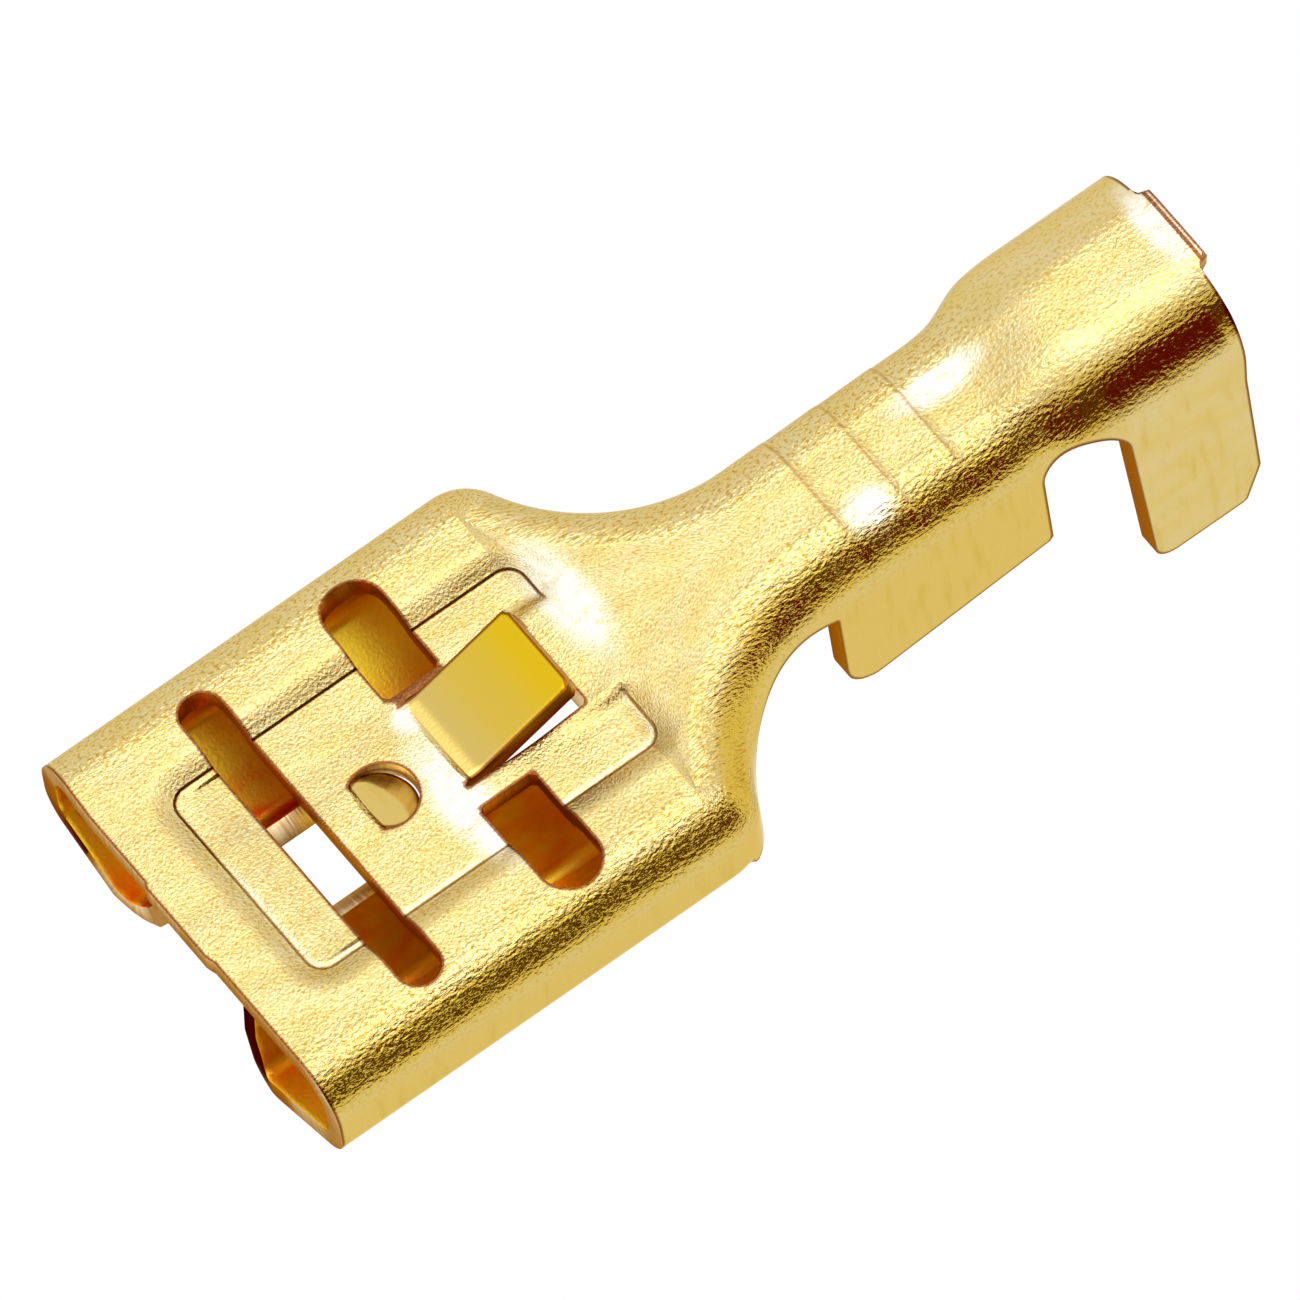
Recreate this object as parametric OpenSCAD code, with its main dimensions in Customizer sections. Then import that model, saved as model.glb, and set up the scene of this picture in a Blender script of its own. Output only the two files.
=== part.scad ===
// Female spade terminal for a 6.3 mm tab, stamped and folded from one brass sheet.
// It is drawn in the folding frame and then laid down as it comes to rest. In the folding
// frame x runs from the mouth to the wire end, z = 0 is the outer face of the back, and
// depths are measured down from that face.

/* [Sheet] */
// Thickness of the brass sheet
sheet = 0.35; // [0.30:0.01:0.38]

/* [Tab socket] */
// Width across the two rolls
socket_w = 7.78; // [7.7:0.02:7.9]
// Length of the rolls
socket_l = 7.68; // [7.6:0.02:7.76]
// Height from the back to the underside of the rolls
roll_h = 2.55; // [2.45:0.05:2.65]
// Outer radius of the bend between the back and the side of a roll
shoulder_r = 0.88; // [0.8:0.02:0.9]
// Gap between the free edges of the two rolls
roll_gap = 1.3; // [1.2:0.05:1.5]

/* [Rear corners] */
// Where the sides start to turn in behind the socket
corner_x = 7.38; // [7.3:0.02:7.46]
// Plan radius of the rear corners of the socket
corner_r = 0.95; // [0.92:0.01:1.1]
// How far the sides turn in at the rear corners, in degrees
corner_turn = 65; // [62:1:68]

/* [Pressed pad] */
// Distance from the mouth to the pad
pad_x = 1.15; // [1.05:0.05:1.25]
// Length of the pad
pad_l = 6.45; // [6.2:0.05:6.5]
// Width of the pad
pad_w = 3.9; // [3.7:0.05:4.1]
// How deep the pad is pressed in
pad_depth = 0.22; // [0.15:0.01:0.26]

/* [Slots] */
// Middle of the front slot
front_slot_x = 2.38; // [2.3:0.02:2.5]
// Width of the front slot
front_slot_w = 0.72; // [0.6:0.02:0.8]
// Length of the front slot
front_slot_l = 6.26; // [6.0:0.02:6.4]
// Middle of the rear slot
rear_slot_x = 5.22; // [5.1:0.02:5.3]
// Width of the rear slot
rear_slot_w = 1.02; // [0.9:0.02:1.1]
// Length of the rear slot
rear_slot_l = 6.5; // [6.4:0.02:6.6]
// Where the rear slot stops to the left of the middle line, beside the tongue
rear_slot_left = 1.2; // [1.16:0.02:1.3]
// Where it stops to the right
rear_slot_right = 1.1; // [1.0:0.02:1.2]

/* [Latch and dimple] */
// Width of the latch tongue
latch_w = 1.7; // [1.5:0.02:1.74]
// Length of the tongue past its bend
latch_l = 1.83; // [1.7:0.01:1.9]
// Slope of the tongue, in degrees
latch_angle = 21; // [15:1:28]
// How far the tongue lies to the left of the middle line
latch_shift = 0.24; // [0.1:0.02:0.26]
// Middle of the dimple
dimple_x = 3.72; // [3.6:0.02:3.8]
// Radius of the dimple
dimple_r = 0.56; // [0.45:0.01:0.6]

/* [Neck and wire barrel] */
// Width across the neck and the wire barrel
wire_w = 3.08; // [3.0:0.02:3.2]
// Outer bend radius of the wire barrel
wire_r = 1.0; // [0.8:0.05:1.2]
// Front edge of the wire wings
wire_x = 11.05; // [11.0:0.05:11.15]
// Rear edge of the wire wings
wire_end = 14.93; // [14.85:0.02:15.0]
// Depth of the wire wings below the back
wire_h = 3.2; // [2.9:0.05:3.3]
// Number of ridges across the wire barrel
ridges = 3; // [2:1:4]

/* [Insulation barrel] */
// Width across the insulation barrel
ins_w = 3.8; // [3.6:0.05:3.9]
// Outer bend radius of the insulation barrel
ins_r = 1.45; // [1.3:0.05:1.5]
// How far its back stands above the back of the socket
ins_lift = 0.5; // [0.4:0.05:0.6]
// Front edge of the insulation wings
ins_x = 16.22; // [16.2:0.02:16.3]
// Rear edge of the insulation wings
ins_end = 18.46; // [18.3:0.02:18.6]
// Depth of the wing tips below the back of the socket
ins_h = 4.8; // [4.7:0.05:5.0]

/* [Carrier stubs] */
// Width of the stub left at the mouth
mouth_stub_w = 1.7; // [1.5:0.05:1.9]
// Width of the stub left at the wire end
tail_stub_w = 1.62; // [1.5:0.02:1.7]

/* [Hidden] */

brass = [0.86, 0.72, 0.32];
past = 1;                     // how far a cutter runs past what it cuts
far = 12;                     // beyond every side of the terminal
bend_steps = 7;               // faces round a bend of the sheet
half_socket = socket_w / 2;
half_wire = wire_w / 2;
half_ins = ins_w / 2;

// Fold of a roll: turn 0 heads down and turn 90 heads towards the middle
roll_top = 1.24;              // depth at which the side of the roll starts to fold
floor_turn = 66;
floor_r = 0.7;
curl_r = 0.6;
floor_end = roll_h - curl_r * (1 - sin(floor_turn));
floor_l = (floor_end - roll_top - floor_r * sin(floor_turn)) / cos(floor_turn);
lip_turn = 152;

// Front edge of each side as [distance behind the mouth, distance from the middle]
right_mouth = [[0, 1.9], [0.06, 1.38], [0.14, 1.1], [0.3, 0.9], [0.45, 0.6]];
left_mouth = [[0.1, half_socket], [0.1, 2.3], [0.3, 1.5], [0.3, 0.6]];

// Plan line of the sides behind the socket
neck_r = (half_socket - half_wire) / (1 - cos(corner_turn)) - corner_r;
neck_end = corner_x + (corner_r + neck_r) * sin(corner_turn);
neck_start = corner_x + corner_r * sin(corner_turn);
step_start = 14.96;           // the back rises and widens between the barrels
step_end = 15.72;
corner_steps = 6;
neck_steps = 9;
step_steps = 6;

// Ridges pressed out of the wire barrel
ridge_x = 11.8;
ridge_pitch = 1.02;
ridge_h = 0.04;
ridge_half = 0.14;

// Pressed pad
pad_rim = 0.32;               // width of the slope round the pad
pad_front_r = 0.15;
pad_rear_r = 0.5;
back_bottom = -pad_depth - sheet;

// Latch and dimple
latch_bend = 0.5;
latch_root = 5.0;
latch_tail = 0.45;            // flat length before the bend
window_x = 4.8;
window_end = 7.14;
window_gap = 0.05;
notch_w = latch_w + 0.34;     // width left unpressed behind the window
ramp_angle = 30;
ramp_front = dimple_x - 0.35;

// Outline punched along the sides
neck_foot = 3.5;              // depths of the sides before they are punched
corner_foot = 1.65;           // depth of the sides at the rear corners of the socket
ins_foot = 5.3;
neck_relief = [9.95, -3.38];
neck_relief_r = 2.6;
crimp_relief = [15.61, -1.16];
crimp_relief_r = 0.68;
wire_rise = 0.35;             // rise of the lower edge of the wire wings
wire_corner = 0.6;
ins_rake = 0.2;               // slope of the front edge of the insulation wings
ins_corner = 0.4;
ins_chamfer = [0.33, 0.75];

// Carrier stubs
mouth_stub = 0.05;
mouth_stub_y = 0.1;
set_back_y = 2.4;
tail_stub = 0.3;
tail_lean = 0.1;              // the back ends this much behind the wings

// At rest the mouth end of the rolls and the round corners of the insulation wings touch down
ins_round = [ins_x + ins_rake + ins_corner, -ins_h + ins_corner];
rest_tilt = atan(-(ins_round.y + roll_h) / ins_round.x)
    + asin(ins_corner / norm([ins_round.x, ins_round.y + roll_h]));
rest_lift = roll_h * cos(rest_tilt);
rest_start = -mouth_stub * cos(rest_tilt);
rest_end = ins_end * cos(rest_tilt) + (ins_h - ins_chamfer.y) * sin(rest_tilt);

function ease(k) = let (c = min(max(k, 0), 1)) c * c * (3 - 2 * c);
function blend(a, b, x, from, to) = a + (b - a) * ease((x - from) / (to - from));
function arc(centre, r, from, to, steps = bend_steps) =
    [for (k = [0:steps]) let (a = from + (to - from) * k / steps) centre + r * [cos(a), sin(a)]];
function backwards(points) = [for (k = [len(points) - 1:-1:0]) points[k]];

// ---- The back with its sides: one shell through U-shaped sections along the plan line ----

function ridge_at(x) = ridge_h * max([for (k = [0:ridges - 1])
    max(0, 1 - abs(x - ridge_x - k * ridge_pitch) / ridge_half)]);
function lift_at(x) = blend(0, ins_lift, x, step_start, step_end) + ridge_at(x);
function half_at(x) = blend(half_wire, half_ins, x, step_start, step_end);
function bend_at(x) = x < wire_x ? blend(shoulder_r, wire_r, x, corner_x, wire_x)
    : blend(wire_r, ins_r, x, step_start, step_end);
function foot_at(x) = x < socket_l ? roll_top
    : x < neck_start ? corner_foot : x < step_start ? neck_foot : ins_foot;

// A station is [x, half width, turn of the side towards the middle line]
stations = concat(
    [[-mouth_stub, half_socket, 0]],
    [for (k = [0:corner_steps]) let (a = corner_turn * k / corner_steps)
        [corner_x + corner_r * sin(a), half_socket - corner_r * (1 - cos(a)), a]],
    [for (k = [neck_steps - 1:-1:0]) let (a = corner_turn * k / neck_steps)
        [neck_end - neck_r * sin(a), half_wire + neck_r * (1 - cos(a)), a]],
    [for (k = [0:ridges - 1], edge = [-1:1])
        let (x = ridge_x + k * ridge_pitch + edge * ridge_half) [x, half_at(x), 0]],
    [for (k = [0:step_steps])
        let (x = step_start + (step_end - step_start) * k / step_steps) [x, half_at(x), 0]],
    [[ins_end + tail_stub, half_ins, 0]]
);

// Half of a section from the middle line to the foot of the side, at a depth into the sheet
function half_section(s, inset) =
    let (r = bend_at(s.x), top = lift_at(s.x))
    concat(
        [[s.x - r * sin(s.z), 0, top - inset]],
        [for (k = [0:bend_steps]) let (a = 90 * k / bend_steps, q = r - (r - inset) * sin(a))
            [s.x - q * sin(s.z), s.y - q * cos(s.z), top - r + (r - inset) * cos(a)]],
        [[s.x - inset * sin(s.z), s.y - inset * cos(s.z), -foot_at(s.x)]]
    );
function section(s, inset) =
    let (half = half_section(s, inset))
    concat(backwards(half), [for (k = [1:len(half) - 1]) [half[k].x, -half[k].y, half[k].z]]);

module back_and_sides() {
    rings = [for (s = stations) concat(section(s, 0), backwards(section(s, sheet)))];
    n = len(rings[0]);
    last = (len(rings) - 1) * n;
    polyhedron(
        points = [for (ring = rings) each ring],
        faces = concat(
            [for (i = [0:len(rings) - 2], k = [0:n - 1])
                let (a = i * n + k, b = i * n + (k + 1) % n) [a, a + n, b + n, b]],
            [for (k = [0:n / 2 - 2]) [k, k + 1, n - 2 - k, n - 1 - k]],
            [for (k = [0:n / 2 - 2]) [last + k, last + n - 1 - k, last + n - 2 - k, last + k + 1]]
        )
    );
}

// ---- The rolls, drawn as [distance from the middle, height] ----

function heading(turn) = [-sin(turn), -cos(turn)];
function inward(turn) = [-cos(turn), sin(turn)];
roll_foot = [half_socket, -roll_top];
floor_centre = roll_foot + floor_r * inward(0);
curl_centre = floor_centre + (curl_r - floor_r) * inward(floor_turn) + floor_l * heading(floor_turn);
lip_start = curl_centre - curl_r * inward(lip_turn);
lip_end = lip_start + (lip_start.x - roll_gap / 2) / sin(lip_turn) * heading(lip_turn);

// Line of the fold at a depth into the sheet
function roll_line(inset) = concat(
    [roll_foot + inset * inward(0)],
    [for (k = [0:bend_steps]) let (turn = floor_turn * k / bend_steps)
        floor_centre - (floor_r - inset) * inward(turn)],
    [for (k = [0:bend_steps]) let (turn = floor_turn + (lip_turn - floor_turn) * k / bend_steps)
        curl_centre - (curl_r - inset) * inward(turn)],
    [lip_end + inset * inward(lip_turn)]
);

// One roll, with its front edge cut back along the given line
module roll(mouth_line) {
    front = mouth_line[0];
    free_edge = mouth_line[len(mouth_line) - 1];
    difference() {
        rotate([90, 0, 90]) linear_extrude(socket_l)
            polygon(concat(roll_line(0), backwards(roll_line(sheet))));
        translate([0, 0, -roll_h - past]) linear_extrude(roll_h + past + back_bottom)
            polygon(concat([[-past, front.y + past], [front.x, front.y + past]], mouth_line,
                [[free_edge.x, -past], [-past, -past]]));
    }
}

// ---- Punched outline ----

// Seen from the side: what is cut away under the neck, round the wings and between them
module punched_sides() {
    rotate([90, 0, 0]) linear_extrude(2 * far, center = true) {
        intersection() {
            translate(neck_relief) circle(neck_relief_r, $fn = 96);
            translate([0, -far]) square([wire_x, far]);
        }
        translate([socket_l, -far]) square([wire_x - socket_l, far - corner_foot]);
        translate(crimp_relief) circle(crimp_relief_r, $fn = 64);
        polygon(concat(
            [[wire_x - past, -far], [wire_x - past, -wire_h]],
            arc([wire_x + wire_corner, -wire_h + wire_corner], wire_corner, 180, 265),
            [[wire_end, -wire_h + wire_rise], [wire_end, crimp_relief.y], [ins_x, crimp_relief.y]],
            arc(ins_round, ins_corner, 180, 270),
            [[ins_end - ins_chamfer.x, -ins_h], [ins_end, -ins_h + ins_chamfer.y],
             [ins_end, -ins_r], [far + ins_end, -ins_r], [far + ins_end, -far]]
        ));
    }
}

// Beside the carrier stubs at both ends, with the left corner of the mouth set back
module punched_ends() {
    translate([-past, 0, -far]) linear_extrude(2 * far) {
        translate([0, mouth_stub_y + mouth_stub_w / 2]) square([past, far]);
        translate([0, mouth_stub_y - mouth_stub_w / 2 - far]) square([past, far]);
        polygon([[0, set_back_y], [past, set_back_y], [past + left_mouth[0].x, half_socket],
                 [past + left_mouth[0].x, far], [0, far]]);
    }
    for (side = [-1, 1])
        translate([0, side * (tail_stub_w + far) / 2, 0]) rotate([90, 0, 0])
            linear_extrude(far, center = true)
                polygon([[ins_end, -far], [ins_end, -ins_r], [ins_end + tail_lean, 0],
                         [ins_end + tail_lean, past], [ins_end + past, past], [ins_end + past, -far]]);
}

module slot(x, width, length) {
    translate([x, 0, back_bottom - window_gap]) linear_extrude(past) {
        square([width, length - width], center = true);
        for (side = [-1, 1]) translate([0, side * (length - width) / 2]) circle(width / 2, $fn = 48);
    }
}

module rear_slot() {
    difference() {
        slot(rear_slot_x, rear_slot_w, rear_slot_l);
        translate([0, -rear_slot_right, back_bottom - 2 * window_gap])
            cube([far, rear_slot_right + rear_slot_left, far]);
    }
}

module latch_window() {
    width = latch_w + 2 * window_gap;
    translate([window_x, latch_shift - width / 2, back_bottom - window_gap])
        cube([window_end - window_x, width, past]);
}

// ---- Pressed forms ----

// Tapered block that presses the pad: the slope carries on above the back
module pad_press() {
    reach = 1.4 * pad_depth;
    flare = pad_rim * reach / pad_depth;
    difference() {
        hull() for (side = [-1, 1]) {
            translate([pad_x + pad_front_r, side * (pad_w / 2 - pad_front_r), -pad_depth])
                cylinder(reach, pad_front_r, pad_front_r + flare, $fn = 24);
            translate([pad_x + pad_l - pad_rear_r, side * (pad_w / 2 - pad_rear_r), -pad_depth])
                cylinder(reach, pad_rear_r, pad_rear_r + flare, $fn = 32);
        }
        translate([window_end - window_gap, latch_shift - notch_w / 2, -far])
            cube([past, notch_w, 2 * far]);
    }
}

module latch() {
    bend_centre = [latch_root, latch_bend - pad_depth];
    function latch_line(inset) =
        let (bend = arc(bend_centre, latch_bend + inset, 270, 270 + latch_angle))
        concat([[latch_root - latch_tail, -pad_depth - inset]], bend,
            [bend[bend_steps] + latch_l * [cos(latch_angle), sin(latch_angle)]]);
    translate([0, latch_shift, 0]) rotate([90, 0, 0]) linear_extrude(latch_w, center = true)
        polygon(concat(latch_line(0), backwards(latch_line(sheet))));
}

// The round end of the dimple, behind the line from which its ramp falls
module dimple_round(r) {
    intersection() {
        translate([dimple_x, 0]) circle(r, $fn = 48);
        translate([ramp_front, -r]) square(2 * r);
    }
}

module dimple_ramp() {
    translate([ramp_front, 0, -pad_depth]) rotate([0, ramp_angle, 0])
        translate([-ramp_front, 0, -sheet]) linear_extrude(sheet) dimple_round(dimple_r - window_gap);
}

// ---- The terminal ----

module folded_terminal() {
    difference() {
        union() {
            difference() {
                union() {
                    back_and_sides();
                    roll(left_mouth);
                    mirror([0, 1, 0]) roll(right_mouth);
                }
                punched_sides();
                punched_ends();
            }
            translate([0, 0, -sheet]) pad_press();
        }
        pad_press();
        slot(front_slot_x, front_slot_w, front_slot_l);
        rear_slot();
        latch_window();
        translate([0, 0, back_bottom - window_gap]) linear_extrude(past) dimple_round(dimple_r);
    }
    latch();
    dimple_ramp();
}

module terminal() {
    color(brass)
        translate([-(rest_start + rest_end) / 2, 0, rest_lift])
            rotate([0, -rest_tilt, 0])
                folded_terminal();
}

terminal();
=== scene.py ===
"""Looks of a female spade terminal: one brass sheet that is pierced, pressed and folded.

The sheet is made as the real one is. A flat blank is pierced and trimmed, its forms are pressed,
it is folded into rolls and wings, and then it gets its thickness, its sheared edges and its finish.
Sizes are in millimetres in the folding frame: x runs from the mouth to the wire end, z = 0 is the
outer face of the back, and y is to the left.
"""

import logging
import math
from dataclasses import dataclass, field
from functools import reduce

import bpy
import numpy as np
from mathutils import Matrix, Vector


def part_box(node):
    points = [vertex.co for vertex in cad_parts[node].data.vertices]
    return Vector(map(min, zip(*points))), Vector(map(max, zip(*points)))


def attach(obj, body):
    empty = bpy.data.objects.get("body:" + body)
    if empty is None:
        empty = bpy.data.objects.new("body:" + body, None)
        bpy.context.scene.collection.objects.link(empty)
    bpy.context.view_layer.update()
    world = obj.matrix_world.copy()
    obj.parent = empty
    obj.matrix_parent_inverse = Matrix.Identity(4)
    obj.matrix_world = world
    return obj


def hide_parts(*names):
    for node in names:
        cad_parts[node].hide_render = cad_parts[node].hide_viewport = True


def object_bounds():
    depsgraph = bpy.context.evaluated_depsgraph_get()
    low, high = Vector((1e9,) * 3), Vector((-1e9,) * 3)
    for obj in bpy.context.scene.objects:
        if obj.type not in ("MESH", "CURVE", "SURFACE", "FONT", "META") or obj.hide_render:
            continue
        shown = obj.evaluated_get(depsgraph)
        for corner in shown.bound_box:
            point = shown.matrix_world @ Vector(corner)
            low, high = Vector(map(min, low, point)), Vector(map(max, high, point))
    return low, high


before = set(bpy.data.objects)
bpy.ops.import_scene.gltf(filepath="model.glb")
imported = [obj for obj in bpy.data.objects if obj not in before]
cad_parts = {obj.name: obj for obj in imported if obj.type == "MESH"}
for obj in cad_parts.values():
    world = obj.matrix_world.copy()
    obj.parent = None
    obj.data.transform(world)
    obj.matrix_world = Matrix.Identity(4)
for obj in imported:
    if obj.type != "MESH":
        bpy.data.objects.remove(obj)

LOG = logging.getLogger("spade_terminal")
MM = 0.001
FAR = 12.0  # millimetres, beyond any size of a cut
CAD_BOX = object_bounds()

# Painted highlights: where the outer face is painted bright, as (x, y, half length, half width).
PAINTED_HIGHLIGHT_SPOTS = (
    (4.62, -0.9, 0.42, 1.3), (4.78, 0.8, 0.25, 0.3), (7.85, 0.95, 0.42, 1.15),
    (12.3, -0.75, 0.4, 0.35), (14.4, 0.3, 0.8, 0.28), (18.45, 0.25, 0.26, 0.85))
# Painted highlights and painted dark reflections on the mouth's sheared edge, as (length of sheet from
# the flat of the back, share): a high share paints it bright, a share near 0 dark.
MOUTH_LEFT = ((0, 0.7), (0.5, 0.7), (0.8, 0.9), (1.5, 0.1), (3.1, 0), (3.5, 1), (4.2, 1), (4.6, 0.6))
MOUTH_RIGHT = ((0, 0.5), (0.6, 0.8), (1.6, 0.6), (2.4, 0.5), (2.9, 0.9), (3.3, 1), (3.8, 0.2), (4.5, 0))

Array = np.ndarray
Node = bpy.types.Node
Socket = bpy.types.NodeSocket
Piece = bpy.types.Object
Pair = tuple[float, float]
Triple = tuple[float, float, float]


# ---- Small helpers ----


def ease(k: Array) -> Array:
    """Smooth step from 0 to 1."""
    c = np.clip(k, 0.0, 1.0)
    return c * c * (3 - 2 * c)


def blend(low: float, high: float, x: Array, start: float, end: float) -> Array:
    """Value that eases from low at start to high at end."""
    return low + (high - low) * ease((x - start) / (end - start))


def bend_up(x: Array, start: float, r: float, slope: float) -> tuple[Array, Array]:
    """Bend a strip out of its plane.

    Args:
        x: Lengths along the strip.
        start: Where the bend starts.
        r: Radius of the bend.
        slope: Slope of the strip past the bend, in degrees.

    Returns:
        (x, height) of each place.
    """
    turn = math.radians(slope)
    a = np.clip((x - start) / r, 0, turn)
    rest = np.maximum(x - start - r * turn, 0)
    new_x = np.minimum(x, start) + r * np.sin(a) + rest * np.cos(a)
    return new_x, r * (1 - np.cos(a)) + rest * np.sin(a)


def arc(centre: Pair, r: float, start: float, end: float, steps: int = 10) -> list[Pair]:
    """Points of an arc.

    Args:
        centre: Middle of the arc.
        r: Radius.
        start: First angle, in degrees.
        end: Last angle, in degrees.
        steps: Number of pieces.

    Returns:
        The points, as pairs.
    """
    angles = np.radians(np.linspace(start, end, steps + 1))
    return [(centre[0] + r * math.cos(a), centre[1] + r * math.sin(a)) for a in angles]


def depth_in_box(x: Array, y: Array, low: Pair, high: Pair) -> Array:
    """How deep each point lies inside a rectangle, negative outside.

    Args:
        x: First coordinates.
        y: Second coordinates.
        low: Corner with the lowest coordinates.
        high: Corner with the highest ones.

    Returns:
        One depth for each point.
    """
    dx = np.maximum(low[0] - x, x - high[0])
    dy = np.maximum(low[1] - y, y - high[1])
    outside = np.hypot(np.maximum(dx, 0), np.maximum(dy, 0))
    return -(np.minimum(np.maximum(dx, dy), 0) + outside)


def depth_in_polygon(x: Array, y: Array, points: list[Pair]) -> Array:
    """How deep each point lies inside a polygon, negative outside.

    Args:
        x: First coordinates.
        y: Second coordinates.
        points: Corners of the polygon in order.

    Returns:
        One depth for each point.
    """
    nearest = np.full(x.shape, np.inf)
    inside = np.zeros(x.shape, bool)
    for (ax, ay), (bx, by) in zip(points, points[1:] + points[:1]):
        ex, ey = bx - ax, by - ay
        along = np.clip(((x - ax) * ex + (y - ay) * ey) / (ex * ex + ey * ey), 0, 1)
        nearest = np.minimum(nearest, np.hypot(x - ax - along * ex, y - ay - along * ey))
        crosses = (ay > y) != (by > y)
        with np.errstate(divide="ignore", invalid="ignore"):
            inside ^= crosses & (x < ex * (y - ay) / ey + ax)
    return np.where(inside, nearest, -nearest)


# ---- The sheet's form ----


@dataclass(frozen=True)
class Roll:
    """One of the two rolls that grip the edges of the tab, as a line folded from the side."""

    half_w: float = 3.89
    height: float = 2.55
    top: float = 1.24
    floor_turn: float = 66.0
    floor_r: float = 0.7
    curl_r: float = 0.6
    lip_turn: float = 152.0
    gap: float = 1.3

    def line(self) -> Array:
        """The roll's line.

        Returns:
            Points (distance from the middle, depth) from the foot of the side to the free edge.
        """
        floor_a, lip_a = math.radians(self.floor_turn), math.radians(self.lip_turn)
        floor_end = self.height - self.curl_r * (1 - math.sin(floor_a))
        floor_l = (floor_end - self.top - self.floor_r * math.sin(floor_a)) / math.cos(floor_a)
        cx, cd = self.half_w - self.floor_r, self.top
        points = arc((cx, cd), self.floor_r, 0, self.floor_turn, 13)
        cx += (self.floor_r - self.curl_r) * math.cos(floor_a) - floor_l * math.sin(floor_a)
        cd += (self.floor_r - self.curl_r) * math.sin(floor_a) + floor_l * math.cos(floor_a)
        points += arc((cx, cd), self.curl_r, self.floor_turn, self.lip_turn, 17)
        last = points[-1]
        lip_l = (last[0] - self.gap / 2) / math.sin(lip_a)
        points.append((last[0] - lip_l * math.sin(lip_a), last[1] + lip_l * math.cos(lip_a)))
        return np.array(points)


@dataclass(frozen=True)
class Pad:
    """The pad pressed into the back. It is left unpressed behind the tongue's window, and the
    sheet beside the window is drawn up a little with the tongue."""

    x: float = 1.15
    end: float = 7.6
    y: float = 0.05
    half_w: float = 1.93
    depth: float = 0.2
    rim: float = 0.44
    corner_r: float = 0.3
    raised: Pair = (-0.84, 1.16)
    raised_x: Pair = (5.9, 7.1)
    drawn_up: float = 0.6
    dip: float = 0.1
    dip_end: float = 8.3
    soft: float = 0.4
    rim_fall: float = 1.4
    dip_fall: float = 1.5

    def inside(self, x: Array, y: Array) -> Array:
        """How far inside the pad's crease each point lies.

        Args:
            x: Places along the sheet.
            y: Places across it.

        Returns:
            One distance for each place, negative outside.
        """
        r = self.corner_r
        low, high = self.y - self.half_w + r, self.y + self.half_w - r
        return depth_in_box(x, y, (self.x + r, low), (self.end - r, high)) + r

    def beside(self, y: Array) -> Array:
        """Whether each point is in line with the window, with soft sides."""
        middle, half = sum(self.raised) / 2, (self.raised[1] - self.raised[0]) / 2
        return ease((half + self.soft / 2 - np.abs(y - middle)) / self.soft)

    def share(self, x: Array, y: Array) -> Array:
        """How much of the pad's depth is left beside and behind the window."""
        along = ease((x - self.raised_x[0]) / (self.raised_x[1] - self.raised_x[0]))
        return 1 - self.beside(y) * along * np.where(x > self.raised_x[1], 1, self.drawn_up)

    def sink(self, x: Array, y: Array) -> Array:
        """How far the back is pressed in at each point.

        Args:
            x: Places along the sheet.
            y: Places across it.

        Returns:
            One depth for each place.
        """
        slope = np.clip(1 + self.inside(x, y) / self.rim, 0, 1)
        past = np.clip((self.dip_end - x) / (self.dip_end - self.raised_x[1]), 0, 1)
        dip = self.dip * past ** self.dip_fall * (x > self.raised_x[1]) * self.beside(y)
        return np.maximum(self.depth * slope ** self.rim_fall * self.share(x, y), dip)


@dataclass(frozen=True)
class Tongue:
    """The latch tongue, lanced out of the back and bent up."""

    root: float = 5.0
    bend_r: float = 0.5
    slope: float = 21.0
    length: float = 1.83
    half_w: float = 0.85
    y: float = 0.24
    window_start: float = 4.8
    window_end: float = 7.04
    lance: float = 0.02

    @property
    def tip(self) -> float:
        """Where the tip was before it was bent up."""
        return self.root + self.bend_r * math.radians(self.slope) + self.length

    def outside(self, x: Array, y: Array) -> Array:
        """Distance outside the tongue, negative within it."""
        return np.maximum(np.abs(y - self.y) - self.half_w, x - self.tip)

    def within(self, x: Array, y: Array) -> Array:
        """Whether each point lies on the tongue or in line with it before its root."""
        return self.outside(x, y) < self.lance / 2


@dataclass(frozen=True)
class Dimple:
    """The dimple: its rear edge is sheared and its floor falls towards that edge."""

    x: float = 3.72
    r: float = 0.56
    hinge: float = 3.37
    bend_r: float = 0.18
    slope: float = 25.0
    lance: float = 0.02

    def from_middle(self, x: Array, y: Array) -> Array:
        """Distance from the dimple's middle."""
        return np.hypot(x - self.x, y)

    def inside(self, x: Array, y: Array) -> Array:
        """Whether each point lies on the dimple's floor."""
        return (self.from_middle(x, y) < self.r - self.lance / 2) & (x > self.hinge)


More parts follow.
